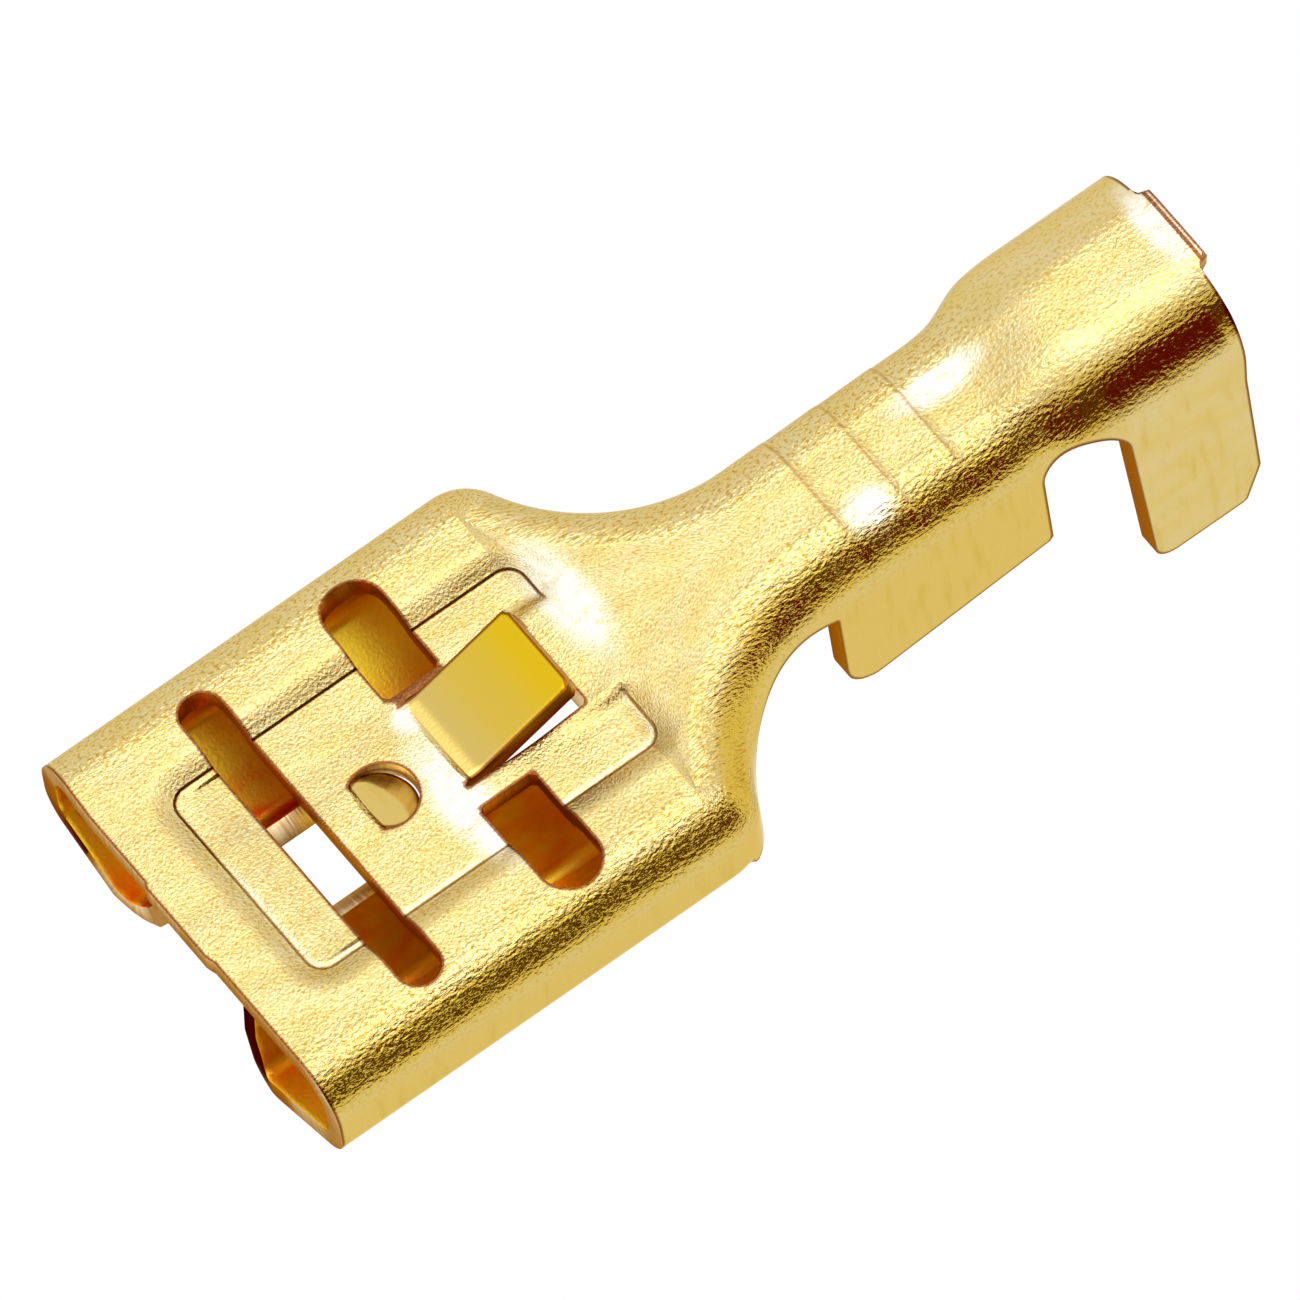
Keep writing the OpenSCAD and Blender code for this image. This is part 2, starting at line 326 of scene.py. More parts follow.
@dataclass(frozen=True)
class Fold:
    """How the flat blank folds. A place on the blank is (s, v): s runs along the side's edge line
    from the mouth, and v runs across from the middle line, over the bend and down the side. It is
    positive to the left."""

    sheet: float = 0.35
    shoulder_r: float = 0.88
    corner_x: float = 7.38
    corner_r: float = 0.95
    corner_turn: float = 65.0
    roll_end: float = 7.68
    wire_half: float = 1.54
    wire_r: float = 1.0
    wire_x: float = 11.05
    ins_half: float = 1.9
    ins_r: float = 1.45
    ins_lift: float = 0.5
    step_start: float = 14.85
    step_end: float = 15.85
    lift_start: float = 14.4
    lift_end: float = 16.4
    ridge_x: float = 10.88
    ridge_pitch: float = 1.02
    ridge_h: float = 0.06
    ridge_rise: float = 0.9
    ridge_ends: Pair = (0.5, 1.3)
    ridges: int = 3
    flat_v: float = 3.0
    bend_v: float = 1.38
    roll: Roll = field(default_factory=Roll)
    pad: Pad = field(default_factory=Pad)
    tongue: Tongue = field(default_factory=Tongue)
    dimple: Dimple = field(default_factory=Dimple)

    @property
    def turn(self) -> float:
        """How far the sides turn in behind the socket, in radians."""
        return math.radians(self.corner_turn)

    @property
    def neck_r(self) -> float:
        """Plan radius of the neck."""
        drop = self.roll.half_w - self.wire_half
        return drop / (1 - math.cos(self.turn)) - self.corner_r

    @property
    def neck_end(self) -> float:
        """Where the neck runs into the wire barrel."""
        return self.corner_x + (self.corner_r + self.neck_r) * math.sin(self.turn)

    @property
    def neck_end_s(self) -> float:
        """The same place, measured along the side's edge line."""
        return self.corner_x + (self.corner_r + self.neck_r) * self.turn

    def plan(self, s: Array) -> tuple[Array, Array, Array]:
        """The side's edge line seen from above.

        Args:
            s: Lengths along the blank.

        Returns:
            (x, half width, turn), with the turn in radians.
        """
        a = np.clip((s - self.corner_x) / self.corner_r, 0, self.turn)
        neck_s = self.corner_x + self.corner_r * self.turn
        b = self.turn - np.clip((s - neck_s) / self.neck_r, 0, self.turn)
        x = (np.minimum(s, self.corner_x) + self.corner_r * np.sin(a)
             + self.neck_r * (math.sin(self.turn) - np.sin(b)) + np.maximum(s - self.neck_end_s, 0))
        half = (self.roll.half_w - self.corner_r * (1 - np.cos(a))
                - self.neck_r * (np.cos(b) - math.cos(self.turn)))
        half = half + blend(0, self.ins_half - self.wire_half, x, self.step_start, self.step_end)
        return x, half, a - (self.turn - b)

    def bend_radius(self, x: Array) -> Array:
        """Outer radius of the bend between the back and the side."""
        front = blend(self.shoulder_r, self.wire_r, x, self.corner_x, self.wire_x)
        return front + blend(0, self.ins_r - self.wire_r, x, self.step_start, self.step_end)

    def middle_x(self, s: Array) -> Array:
        """Where a row of the blank meets the middle line.

        Args:
            s: Lengths along the blank.

        Returns:
            One x for each length.
        """
        known_s = [-1.0, self.corner_x, self.neck_end_s, self.neck_end_s + FAR]
        known_x = [-1.0, self.corner_x, self.neck_end, self.neck_end + FAR]
        return np.interp(s, known_s, known_x)

    def ridge(self, x: Array) -> Array:
        """Height of the ridges pressed out of the wire barrel. Each rises slowly and drops off.

        Args:
            x: Places along the sheet.

        Returns:
            One height for each place.
        """
        place = (x - self.ridge_x) / self.ridge_pitch
        k = place - np.floor(place)
        height = np.minimum(k / self.ridge_rise, (1 - k) / (1 - self.ridge_rise))
        return self.ridge_h * height * ((place > 0) & (place < self.ridges))

    def roll_line(self) -> Array:
        """Points (distance from the middle, depth) from the shoulder's end to the free edge."""
        return np.vstack([[self.roll.half_w, self.shoulder_r], self.roll.line()])

    def rolled(self, down: Array) -> tuple[Array, Array]:
        """Follow the roll's line.

        Args:
            down: Lengths of sheet below the shoulder.

        Returns:
            (distance inward from the side, depth) of each place.
        """
        line = self.roll_line()
        lengths = np.concatenate([[0], np.cumsum(np.hypot(*np.diff(line, axis=0).T))])
        tail = line[-1] - line[-2]
        tail = tail / np.hypot(*tail)
        past = np.maximum(down - lengths[-1], 0)
        inward = self.roll.half_w - np.interp(down, lengths, line[:, 0]) - past * tail[0]
        return inward, np.interp(down, lengths, line[:, 1]) + past * tail[1]

    @property
    def roll_l(self) -> float:
        """Length of sheet in a roll below the shoulder."""
        return float(np.hypot(*np.diff(self.roll_line(), axis=0).T).sum())

    def place(self, s: Array, v: Array) -> Array:
        """Where each place on the blank comes to lie.

        Args:
            s: Lengths along the blank.
            v: Distances across it.

        Returns:
            An array of points, one row each.
        """
        tongue, dimple = self.tongue, self.dimple
        edge_x, x, y, z, a, down = self.bent(s, v)
        inward, depth = self.rolled(down)
        rolled = 1 - ease((edge_x - self.roll_end) / (0.5 * self.sheet))
        y = y - rolled * inward * (down > 0)
        z = np.where(down > 0, rolled * -depth + (1 - rolled) * (z - down), z)

        ridge = self.ridge(x) * blend(1, 0, a, *self.ridge_ends) * (down == 0)
        y = (y + ridge * np.sin(a)) * np.sign(v)
        z = z + ridge * np.cos(a)

        on_top = np.abs(v) < self.flat_v
        on_tongue = on_top & tongue.within(x, y)
        lanced = on_tongue & (x >= tongue.window_start)
        z = z - np.where(lanced, self.pad.depth, self.pad.sink(x, y)) * on_top
        tongue_x, height = bend_up(x, tongue.root, tongue.bend_r, tongue.slope)
        on_dimple = on_top & dimple.inside(x, y)
        dimple_x, sunk = bend_up(x, dimple.hinge, dimple.bend_r, dimple.slope)
        z = z + np.where(on_tongue, height, 0) - np.where(on_dimple, sunk, 0)
        x = np.where(on_tongue, tongue_x, np.where(on_dimple, dimple_x, x))
        return np.stack([x, y, z], axis=-1)

    def bent(self, s: Array, v: Array) -> tuple[Array, ...]:
        """Where each place lies once the sides are bent down, before anything else is pressed.

        Args:
            s: Lengths along the blank.
            v: Distances across it.

        Returns:
            (x of the edge line, x, distance from the middle line, z, angle over the bend, length
            of sheet below the bend). The z is that of the bend's end for all sheet below it.
        """
        across = np.abs(v)
        edge_x, half, turn = self.plan(s)
        r = self.bend_radius(edge_x)
        flat = np.clip(across / self.flat_v, 0, 1)
        a = np.clip((across - self.flat_v) / self.bend_v, 0, 1) * math.pi / 2
        down = np.maximum(across - self.flat_v - self.bend_v, 0)
        inset = r * (1 - np.sin(a))
        x = flat * (edge_x - inset * np.sin(turn)) + (1 - flat) * self.middle_x(s)
        y = flat * (half - inset * np.cos(turn))
        lift = blend(0, self.ins_lift, x, self.lift_start, self.lift_end)
        return edge_x, x, y, lift - r * (1 - np.cos(a)), a, down

    def flat_place(self, s: Array, v: Array) -> tuple[Array, Array, Array, Array]:
        """Where each place lies before the tongue, dimple and pad are pressed.

        Args:
            s: Lengths along the blank.
            v: Distances across it.

        Returns:
            (x, y, z, depth of sheet below the back).
        """
        edge_x, x, y, z, a, down = self.bent(s, v)
        y = y - self.rolled(down)[0] * (down > 0) * (edge_x < self.roll_end)
        return x, y * np.sign(v), z - down, self.bend_radius(edge_x) * (a > 0) + down

    def true_across(self, s: Array, v: Array) -> Array:
        """Distance of each place from the middle line, along the sheet in millimetres.

        Args:
            s: Lengths along the blank.
            v: Distances across it.

        Returns:
            One distance for each place, positive to the left.
        """
        edge_x, half, turn = self.plan(s)
        _, _, y, _, a, down = self.bent(s, v)
        r = self.bend_radius(edge_x)
        y = np.where(np.abs(v) < self.flat_v, y, half - r * np.cos(turn))
        return np.sign(v) * (y + r * a + down)


@dataclass(frozen=True)
class Wear:
    """What the press has left on the folded sheet. Roughness is a share of the full grain, and a
    pair is where a change starts and ends, over the bend (0 to 1), along x or down a roll."""

    fold: Fold
    flat_rough: float = 0.62
    bend_rough: float = 0.33
    step_calm: float = 0.4
    wing_calm: float = 0.93
    smooth_rough: float = 0.05
    calm_l: float = 0.8
    pale_l: float = 1.4
    wing_pale: float = 0.75
    wing_starts: Pair = (0.62, 0.92)
    # Where the right bend's painted dark reflection stripe starts and is full, over the bend.
    band_starts: Pair = (0.2, 0.4)
    # Weights of the crease and bead: their relief, the crease's painted shade line and the bead's
    # painted highlight.
    back_crease: Pair = (6.6, 7.1)
    right_crease: float = 0.22
    left_bead: float = 0.4
    # Painted red shade inside the rolls: where it grows down a roll, and where its full strength in the
    # left roll ends along x.
    deep_roll: Pair = (1.5, 3.0)
    red_end: float = 4.0
    broken: float = 0.15
    lip: float = 0.65
    lip_l: float = 0.3
    mouth_l: float = 0.9
    stub: Triple = (18.3, 0.9, 0.9)

    def marks(self, s: Array, v: Array) -> dict[str, Array]:
        """The sheet's attributes.

        Args:
            s: Lengths along the blank.
            v: Distances across it.

        Returns:
            Arrays by attribute name: "pressed", how rough the face is; "stretched", how far its
            grain is drawn out along a bend; "painted_reflection_band", where the right bend gets a
            painted dark reflection; "tint", how pale the face is, full on the top and upper bends so
            that these are painted paler as their highlight; "tongue", how far up the tongue;
            "inside_pad", how far inside the pad's crease; "creased" and "beaded", how sharp its crease
            and the bead beside it are, which also weigh the crease's painted shade line and the bead's
            painted highlight; "painted_roll_shade", how deep inside a roll, for the painted red shade
            there; "painted_highlight", how far the face is painted bright as a highlight; and
            "burnish_and_highlight", how bright a sheared edge is, with painted highlights and painted
            dark reflections along the mouth.
        """
        fold, pad, tongue = self.fold, self.fold.pad, self.fold.tongue
        x, y, _, _ = fold.flat_place(s, v)
        past_flat = np.abs(v) - fold.flat_v
        on_top = past_flat < 0
        bend = ease((past_flat + 0.5) / 0.7)
        wing = blend(0, 1, past_flat / fold.bend_v, *self.wing_starts)
        # Painted dark reflection stripe, on the right bend only.
        painted_reflection_band = blend(0, 1, past_flat / fold.bend_v, *self.band_starts) * (1 - wing) ** 2 * (v < 0)
        calm = blend(0, self.step_calm, x, fold.step_start, fold.step_start + self.calm_l)
        pale = blend(0, self.wing_pale, x, fold.step_start, fold.step_start + self.pale_l)
        smooth = on_top & tongue.within(x, y) & (x > tongue.root - 0.12)
        up = np.where(smooth, np.clip((x - tongue.root) / tongue.length, 0, 1), 0)
        smooth |= on_top & fold.dimple.inside(x, y)
        pressed = (self.flat_rough + (self.bend_rough - calm) * bend) * (1 - self.wing_calm * wing)
        left = ease((y - pad.y) / 1.2)
        crease = self.right_crease + (1 - self.right_crease) * left
        kept = pad.share(x, y) * ~smooth
        # Painted red shade deep in the rolls, full in the left roll's front and half elsewhere.
        deep = blend(0, 1, past_flat - fold.bend_v, *self.deep_roll) * (x < fold.roll_end)
        return {
            "pressed": np.where(smooth, self.smooth_rough, pressed),
            "stretched": bend,
            "painted_reflection_band": painted_reflection_band,
            "tint": np.where(smooth, 0, 1 - wing * (1 - pale)),
            "tongue": up,
            "inside_pad": np.where(on_top, pad.inside(x, y), -1),
            "creased": kept * np.maximum(crease, blend(0, 1, x, *self.back_crease) * (y > 0)),
            "beaded": kept * (1 - (1 - self.left_bead) * left),
            "painted_roll_shade": deep * np.where((v > 0) & (x < self.red_end), 1, 0.5),
            "painted_highlight": self.painted_highlight(x, y) * (1 - wing) * ~smooth,
            "burnish_and_highlight": self.burnish_and_highlight(x, y, v),
        }

    def painted_highlight(self, x: Array, y: Array) -> Array:
        """How far the outer face is painted bright at each place, as painted highlights.

        Args:
            x: Places along the sheet.
            y: Places across it.

        Returns:
            One share for each place.
        """
        return np.maximum.reduce([
            ease(1.4 - np.hypot((x - middle_x) / along, (y - middle_y) / across))
            for middle_x, middle_y, along, across in PAINTED_HIGHLIGHT_SPOTS])

    def burnish_and_highlight(self, x: Array, y: Array, v: Array) -> Array:
        """How bright a sheared edge is at each place, from 0 where it is painted dark to 1; along the
        mouth it holds painted highlights and painted dark reflections.

        Args:
            x: Places along the sheet.
            y: Places across it.
            v: Distances across it.

        Returns:
            One share for each place.
        """
        fold, tongue, dimple = self.fold, self.fold.tongue, self.fold.dimple
        past_flat = np.abs(v) - fold.flat_v
        left, right = [np.interp(past_flat, *zip(*points)) for points in (MOUTH_LEFT, MOUTH_RIGHT)]
        lips = (past_flat > fold.bend_v + fold.roll_l - self.lip_l) & (x < fold.roll_end)
        bright = np.where(lips, self.lip, self.broken)
        # Painted highlights and painted dark reflections along the mouth's edge.
        bright = np.where(x < self.mouth_l, np.where(v > 0, left, right), bright)
        off_tip = np.maximum(np.abs(tongue.outside(x, y)), np.abs(x - tongue.tip))
        shiny = (off_tip < 0.1) | (dimple.from_middle(x, y) < dimple.r + 0.12)
        bright = np.where(shiny & (past_flat < 0), 1, bright)
        start, half_w, stub = self.stub
        return np.where((x > start) & (np.abs(y) < half_w), stub, bright)


@dataclass(frozen=True)
class Punch:
    """Everything that is pierced or trimmed off the blank."""

    fold: Fold
    front_slot: Triple = (2.38, 0.72, 6.26)
    rear_slot: Triple = (5.22, 1.02, 6.5)
    bridge: Pair = (-1.1, 1.27)
    right_gap: float = 0.1
    corner_foot: float = 1.65
    neck: Triple = (9.95, -3.38, 2.6)
    crimp: Triple = (15.61, -1.16, 0.68)
    wire_end: float = 14.93
    wire_h: float = 3.2
    wire_rise: float = 0.35
    wire_corner: float = 0.6
    ins_x: float = 16.22
    ins_end: float = 18.46
    ins_h: float = 4.8
    ins_rake: float = 0.2
    ins_corner: float = 0.4
    ins_chamfer: Pair = (0.33, 0.75)
    mouth_stub: Triple = (0.05, 0.1, 1.7)
    tail_stub: Pair = (0.3, 1.62)
    tail_lean: float = 0.1
    left_set_back: float = 0.1
    stub_round: float = 0.06
    right_cut: tuple[Pair, ...] = ((0.6, 0.45), (0.9, 0.3), (1.1, 0.14), (1.38, 0.06), (1.9, 0))
    left_cut: tuple[Pair, ...] = ((1.5, 0.3), (2.3, 0.1))
    opening_v: float = 0.7
    slack: float = 0.05

    def slot(self, x: Array, y: Array, size: Triple) -> Array:
        """Depth inside a round-ended slot of (middle, width, length)."""
        beyond = np.maximum(np.abs(y) - (size[2] - size[1]) / 2, 0)
        return size[1] / 2 - np.hypot(x - size[0], beyond)

    def wing_outline(self) -> list[Pair]:
        """Outline of what is cut away below the wings.

        Returns:
            Its corners in order, as (x, z).
        """
        x = self.fold.wire_x
        ins_round = (self.ins_x + self.ins_rake + self.ins_corner, -self.ins_h + self.ins_corner)
        return (
            [(x - 1, -FAR), (x - 1, -self.wire_h)]
            + arc((x + self.wire_corner, -self.wire_h + self.wire_corner), self.wire_corner, 180, 265)
            + [(self.wire_end, -self.wire_h + self.wire_rise), (self.wire_end, self.crimp[1]),
               (self.crimp[0] + self.crimp[2], self.crimp[1])]
            + arc(ins_round, self.ins_corner, 180, 270)
            + [(self.ins_end - self.ins_chamfer[0], -self.ins_h),
               (self.ins_end, -self.ins_h + self.ins_chamfer[1]),
               (self.ins_end, -self.fold.ins_r), (self.ins_end + FAR, -self.fold.ins_r),
               (self.ins_end + FAR, -FAR)]
        )

    def mouth_edge(self, y: Array, on_roll: Array) -> Array:
        """Where the sheet begins at the mouth. The cuts are (distance from the middle, x).

        Args:
            y: Places across it.
            on_roll: Whether each place lies on a roll.

        Returns:
            One x for each place.
        """
        stub_l, stub_y, stub_w = self.mouth_stub
        back = -stub_l * ease((stub_w / 2 - np.abs(y - stub_y)) / self.stub_round)
        back = back + np.interp(y, [2.4, self.fold.roll.half_w], [0, self.left_set_back])
        right, left = np.interp(-y, *zip(*self.right_cut)), np.interp(y, *zip(*self.left_cut))
        return np.where(on_roll, np.where(y < 0, right, left), back)

    def removed(self, s: Array, v: Array, widen: float = 0.0) -> Array:
        """How deep each place lies inside what is cut away, negative on the sheet that stays.

        Args:
            s: Lengths along the blank.
            v: Distances across it.
            widen: Least half width of a lanced cut, so that it takes in a row of faces.

        Returns:
            One depth for each place.
        """
        fold, tongue, dimple = self.fold, self.fold.tongue, self.fold.dimple
        x, y, z, below = fold.flat_place(s, v)
        across = np.abs(v)
        window = depth_in_box(
            x, y, (tongue.window_start, tongue.y - tongue.half_w - self.right_gap - widen),
            (tongue.window_end, tongue.y + tongue.half_w + tongue.lance + widen))
        beside = np.maximum(self.bridge[0] - y, y - self.bridge[1])
        openings = np.minimum(window, tongue.outside(x, y) + widen)
        openings = np.maximum(openings, np.minimum(self.slot(x, y, self.rear_slot), beside))
        openings = np.maximum(openings, self.slot(x, y, self.front_slot))
        ring = dimple.lance / 2 + widen - np.abs(dimple.from_middle(x, y) - dimple.r + dimple.lance / 2)
        openings = np.maximum(openings, np.minimum(ring, x - dimple.hinge + widen))
        openings = np.where(across < fold.flat_v + self.opening_v, openings, -FAR)

        neck = self.neck[2] - np.hypot(x - self.neck[0], z - self.neck[1])
        neck = np.minimum(neck, fold.wire_x - x)
        behind = depth_in_box(x, below, (fold.roll_end, self.corner_foot), (fold.wire_x, FAR))
        crimp = self.crimp[2] - np.hypot(x - self.crimp[0], z - self.crimp[1])
        wings = depth_in_polygon(x, z, self.wing_outline())
        past_lip = across - fold.flat_v - fold.bend_v - fold.roll_l
        past_lip = np.where(x < fold.roll_end + self.slack, past_lip, -FAR)
        mouth = self.mouth_edge(y, across > fold.flat_v + fold.bend_v) - x
        lean = self.tail_lean * np.clip(1 + z / fold.ins_r, 0, 1)
        tail_end = self.ins_end + np.where(np.abs(y) < self.tail_stub[1] / 2, self.tail_stub[0], lean)
        sides = np.maximum.reduce([neck, behind, crimp, wings, past_lip, mouth, x - tail_end])
        return np.maximum(openings, sides)


# ---- From the blank to the mesh ----


def deselect_all() -> None:
    """Leave object mode with nothing selected."""
    if bpy.context.object and bpy.context.object.mode != "OBJECT":
        bpy.ops.object.mode_set(mode="OBJECT")
    bpy.ops.object.select_all(action="DESELECT")


def apply_modifier(piece: Piece, kind: str, **settings: object) -> None:
    """Add a modifier with its settings and apply it.

    Args:
        piece: Object that gets the modifier.
        kind: Its type.
        settings: Its attributes.
    """
    modifier = piece.modifiers.new(kind.lower(), kind)
    for name, value in settings.items():
        setattr(modifier, name, value)
    bpy.context.view_layer.objects.active = piece
    bpy.ops.object.modifier_apply(modifier=modifier.name)


def fetch(items: bpy.types.bpy_prop_collection, name: str, width: int, kind: type = float) -> Array:
    """One row of a property for each of a mesh's items.

    Args:
        items: The mesh's vertices, edges, faces or corners.
        name: The property.
        width: How many numbers one item has.
        kind: Type of the numbers.

    Returns:
        The rows, one for each item.
    """
    values = np.zeros(len(items) * width, kind)
    items.foreach_get(name, values)
    return values.reshape(-1, width)


@dataclass
class Blank:
    """The flat blank as a fine grid, which is pierced, trimmed and folded."""

    fold: Fold
    punch: Punch
    cell: float = 0.088
    start: float = -0.2
    end: float = 19.9
    relax_rounds: int = 14
    near_rings: int = 3
    border_pull: float = 0.5
    near_pull: float = 0.6
    probe: float = 0.004

    def add_grid(self) -> Piece:
        """Add the blank's grid at its flat size, in millimetres.

        Returns:
            The new grid.
        """
        half = self.fold.flat_v + self.fold.bend_v + self.fold.roll_l + 0.2
        rows = round((self.end - self.start) / self.cell)
        columns = 2 * round(half / self.cell)
        deselect_all()
        bpy.ops.mesh.primitive_grid_add(x_subdivisions=rows, y_subdivisions=columns, size=1)
        piece = bpy.context.object
        piece.data.transform(
            Matrix.Translation(((self.start + self.end) / 2, 0, 0))
            @ Matrix.Diagonal((self.end - self.start, 2 * half, 1, 1)))
        return piece

    def pierce(self, piece: Piece) -> None:
        """Delete the faces whose middles lie in what is cut away.

        Args:
            piece: The blank's grid.
        """
        mesh = piece.data
        s, v, _ = fetch(mesh.polygons, "center", 3).T
        gone = self.punch.removed(s, v, widen=0.6 * self.cell) > 0
        mesh.polygons.foreach_set("select", gone)
        for loose in (mesh.vertices, mesh.edges):
            loose.foreach_set("select", np.zeros(len(loose), bool))
        bpy.context.tool_settings.mesh_select_mode = (False, False, True)
        bpy.ops.object.mode_set(mode="EDIT")
        bpy.ops.mesh.delete(type="FACE")
        bpy.ops.object.mode_set(mode="OBJECT")

    def onto_line(self, place: Array, rounds: int = 3) -> Array:
        """Pull places on the blank onto the punched line.

        Args:
            place: Array of (s, v).
            rounds: Number of steps.

        Returns:
            The moved places.
        """
        h = self.probe
        for _ in range(rounds):
            s, v = place.T
            depth = self.punch.removed(s, v)
            slope_s = (self.punch.removed(s + h, v) - self.punch.removed(s - h, v)) / (2 * h)
            slope_v = (self.punch.removed(s, v + h) - self.punch.removed(s, v - h)) / (2 * h)
            slope = np.stack([slope_s, slope_v], axis=-1)
            step = -depth[:, None] * slope / np.maximum((slope ** 2).sum(1), 0.02)[:, None]
            length = np.linalg.norm(step, axis=1)
            place = place + step * np.minimum(1, self.cell / np.maximum(length, 1e-9))[:, None]
        return place

    def trim(self, piece: Piece) -> Array:
        """Pull the border onto the punched line and even out the faces next to it.

        Args:
            piece: The pierced blank.

        Returns:
            The (s, v) of every vertex.
        """
        mesh = piece.data
        count = len(mesh.vertices)
        place = fetch(mesh.vertices, "co", 3)[:, :2].copy()
        edges = fetch(mesh.edges, "vertices", 2, int)
        sides = fetch(mesh.loops, "edge_index", 1, int).ravel()
        rim = np.bincount(sides, minlength=len(edges)) == 1
        border = np.zeros(count, bool)
        border[edges[rim].ravel()] = True
        near = border.copy()
        for _ in range(self.near_rings):
            touched = near[edges].any(axis=1)
            near[edges[touched].ravel()] = True
        near &= ~border

        def averages(links: Array) -> Array:
            """Mean of each vertex's neighbours along the given edges.

            Args:
                links: Pairs of vertices.

            Returns:
                One place for each vertex.
            """
            total, number = np.zeros_like(place), np.zeros(count)
            for a, b in ((0, 1), (1, 0)):
                np.add.at(total, links[:, a], place[links[:, b]])
                np.add.at(number, links[:, a], 1)
            return total / np.maximum(number, 1)[:, None]

        place[border] = self.onto_line(place[border], 6)
        for _ in range(self.relax_rounds):
            along = averages(edges[rim])
            place[border] += self.border_pull * (along[border] - place[border])
            place[border] = self.onto_line(place[border])
            place[near] += self.near_pull * (averages(edges)[near] - place[near])
        place[border] = self.onto_line(place[border], 6)
        return place

    def folded(self) -> Piece:
        """Pierce, trim and fold the blank into one sheet with no thickness.

        Returns:
            The folded sheet.
        """
        piece = self.add_grid()
        self.pierce(piece)
        s, v = self.trim(piece).T
        mesh = piece.data
        mesh.vertices.foreach_set("co", (self.fold.place(s, v) * MM).ravel())
        true_place = np.stack([s, self.fold.true_across(s, v), np.zeros_like(s)], axis=-1)
        on_blank = mesh.attributes.new("on_blank", "FLOAT_VECTOR", "POINT")
        on_blank.data.foreach_set("vector", true_place.ravel())
        marks = Wear(self.fold).marks(s, v)
        marks["from_edge"] = -self.punch.removed(s, v)
        for name, values in marks.items():
            mesh.attributes.new(name, "FLOAT", "POINT").data.foreach_set("value", values)
        mesh.update()
        return piece


@dataclass
class Rest:
    """How the terminal lies: on the mouth end of its rolls and the corners of its last wings."""

    fold: Fold
    punch: Punch

    @property
    def tilt(self) -> float:
        """Angle between the folding frame's x and the surface.

        Returns:
            The angle in radians.
        """
        r = self.punch.ins_corner
        x = self.punch.ins_x + self.punch.ins_rake + r
        drop = self.punch.ins_h - r - self.fold.roll.height
        return math.atan2(drop, x) + math.asin(r / math.hypot(x, drop))

    def matrix(self) -> Matrix:
        """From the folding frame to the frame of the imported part.

        Returns:
            The transform, with its shift in metres.
        """
        low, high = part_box("terminal")
        turn = Matrix.Rotation(-self.tilt, 4, "Y")
        start = -self.punch.mouth_stub[0] * MM * math.cos(self.tilt)
        lift = self.fold.roll.height * MM * math.cos(self.tilt)
        return Matrix.Translation((low.x - start, (low.y + high.y) / 2, low.z + lift)) @ turn


# ---- Finishes ----


def linear(colour: str) -> tuple[float, float, float, float]:
    """Linear colour of an sRGB hex value such as DDC16D."""
    channels = [int(colour[k:k + 2], 16) / 255 for k in (0, 2, 4)]
    return tuple(c / 12.92 if c <= 0.04045 else ((c + 0.055) / 1.055) ** 2.4 for c in channels) + (1.0,)


class Graph:
    """The node tree of a material or world, with short ways to add the nodes used here."""

    def __init__(self, owner: bpy.types.Material | bpy.types.World) -> None:
        """Take over the owner's node tree."""
        owner.use_nodes = True
        self.tree = owner.node_tree

    def add(self, kind: str, inputs: dict | None = None, **settings: object) -> Node:
        """Add a node with its settings, values and links.

        Args:
            kind: The shader node's type.
            inputs: Values, hex colours or output sockets by input name or number.
            settings: Attributes of the node.

        Returns:
            The new node.
        """
        node = self.tree.nodes.new("ShaderNode" + kind)
        for name, value in settings.items():
            setattr(node, name, value)
        for name, value in (inputs or {}).items():
            if isinstance(value, Socket):
                self.tree.links.new(value, node.inputs[name])
            else:
                node.inputs[name].default_value = linear(value) if isinstance(value, str) else value
        return node

    def maths(self, operation: str, *values: object) -> Socket:
        """Result of one sum on sockets or numbers."""
        return self.add("Math", dict(enumerate(values)), operation=operation).outputs[0]

    def vector(self, operation: str, *values: object) -> Socket:
        """Result of one sum on vectors."""
        node = self.add("VectorMath", dict(enumerate(values)), operation=operation)
        return node.outputs["Value" if operation in ("LENGTH", "DOT_PRODUCT") else "Vector"]

    def product(self, *values: object) -> Socket:
        """Product of sockets or numbers."""
        return reduce(lambda a, b: self.maths("MULTIPLY", a, b), values)

    def ramp(self, value: Socket, start: float, end: float, low: float = 0, high: float = 1) -> Socket:
        """Value that goes smoothly from low at start to high at end.

        Args:
            value: What the ramp reads.
            start: Value at its low end.
            end: Value at its high end.
            low: Result at the start.
            high: Result at the end.

        Returns:
            The result.
        """
        return self.add("MapRange", {
            "Value": value, "From Min": start, "From Max": end, "To Min": low, "To Max": high},
            interpolation_type="SMOOTHSTEP").outputs["Result"]

    def mix(self, factor: Socket, first: object, second: object) -> Socket:
        """Mix of two colours, each a hex value or a socket."""
        return self.add("Mix", {"Factor": factor, 6: first, 7: second}, data_type="RGBA").outputs[2]

    def mix_shaders(self, factor: Socket, first: Node, second: Node) -> Node:
        """Mix of two shaders."""
        return self.add("MixShader", {0: factor, 1: first.outputs[0], 2: second.outputs[0]})

    def surface(self, shader: Node) -> None:
        """Make a shader the material's own in place of the usual one."""
        self.tree.nodes.remove(self.tree.nodes["Principled BSDF"])
        self.tree.links.new(shader.outputs[0], self.tree.nodes["Material Output"].inputs["Surface"])


